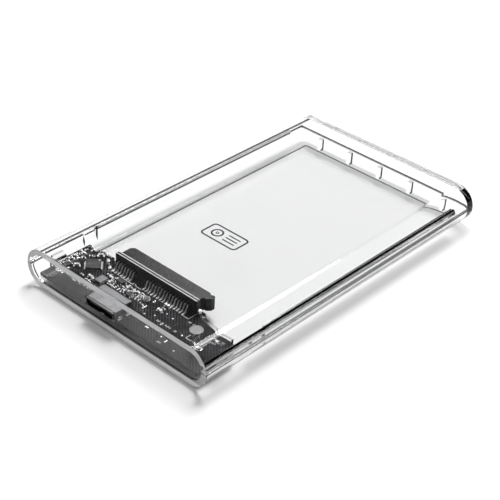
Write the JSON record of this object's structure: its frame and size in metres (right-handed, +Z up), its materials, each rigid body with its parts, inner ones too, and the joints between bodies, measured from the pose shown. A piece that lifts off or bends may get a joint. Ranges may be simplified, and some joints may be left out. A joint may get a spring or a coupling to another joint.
{
  "type": "external hard drive enclosure",
  "caption": "Flat clear case for a small disk drive, with a lid that slides off and a bridge board with a cable socket and a drive socket at one end.",
  "frame": {"origin": "centre of the underside, on the surface it lies on", "axes": "+Y along the case towards the far end, away from the cable socket; +X across; +Z up through the lid"},
  "size_m": [0.08, 0.133, 0.014],
  "materials": {
    "clear_plastic": "clear moulded polycarbonate, polished",
    "board_black": "black solder mask on glass-fibre board",
    "socket_black": "black moulded socket plastic",
    "plated_steel": "satin nickel-plated steel",
    "tinned_metal": "tin-plated contacts",
    "chip_black": "black moulding compound",
    "ceramic_brown": "fired ceramic",
    "ferrite_grey": "sintered ferrite",
    "lamp_white": "clear-white lamp body"
  },
  "bodies": {
    "base": {"base_tray": "clear_plastic", "bridge_chip": "chip_black", "capacitor_1": "ceramic_brown", "capacitor_2": "ceramic_brown", "capacitor_3": "ceramic_brown", "capacitor_4": "ceramic_brown", "capacitor_5": "ceramic_brown", "capacitor_6": "ceramic_brown", "capacitor_7": "ceramic_brown", "capacitor_8": "ceramic_brown", "capacitor_9": "ceramic_brown", "choke_coil": "ferrite_grey", "circuit_board": "board_black", "crystal_can": "plated_steel", "light_pipe": "clear_plastic", "memory_chip": "chip_black", "regulator": "chip_black", "resistor_1": "chip_black", "resistor_2": "chip_black", "resistor_3": "chip_black", "resistor_4": "chip_black", "resistor_5": "chip_black", "resistor_6": "chip_black", "resistor_7": "chip_black", "resistor_8": "chip_black", "sata_hold_down_left": "tinned_metal", "sata_hold_down_right": "tinned_metal", "sata_housing": "socket_black", "sata_power_contact_1": "tinned_metal", "sata_power_contact_10": "tinned_metal", "sata_power_contact_11": "tinned_metal", "sata_power_contact_12": "tinned_metal", "sata_power_contact_13": "tinned_metal", "sata_power_contact_14": "tinned_metal", "sata_power_contact_15": "tinned_metal", "sata_power_contact_2": "tinned_metal", "sata_power_contact_3": "tinned_metal", "sata_power_contact_4": "tinned_metal", "sata_power_contact_5": "tinned_metal", "sata_power_contact_6": "tinned_metal", "sata_power_contact_7": "tinned_metal", "sata_power_contact_8": "tinned_metal", "sata_power_contact_9": "tinned_metal", "sata_signal_contact_1": "tinned_metal", "sata_signal_contact_2": "tinned_metal", "sata_signal_contact_3": "tinned_metal", "sata_signal_contact_4": "tinned_metal", "sata_signal_contact_5": "tinned_metal", "sata_signal_contact_6": "tinned_metal", "sata_signal_contact_7": "tinned_metal", "status_lamp": "lamp_white", "surge_protector": "chip_black", "usb_insulator": "socket_black", "usb_shell": "plated_steel"},
    "lid": {"lid": "clear_plastic"}
  },
  "joints": [
    {"name": "lid_slide", "type": "slide", "parent": "base", "child": "lid", "axis": [0, 1, 0], "range_m": [0, 0.12]}
  ]
}
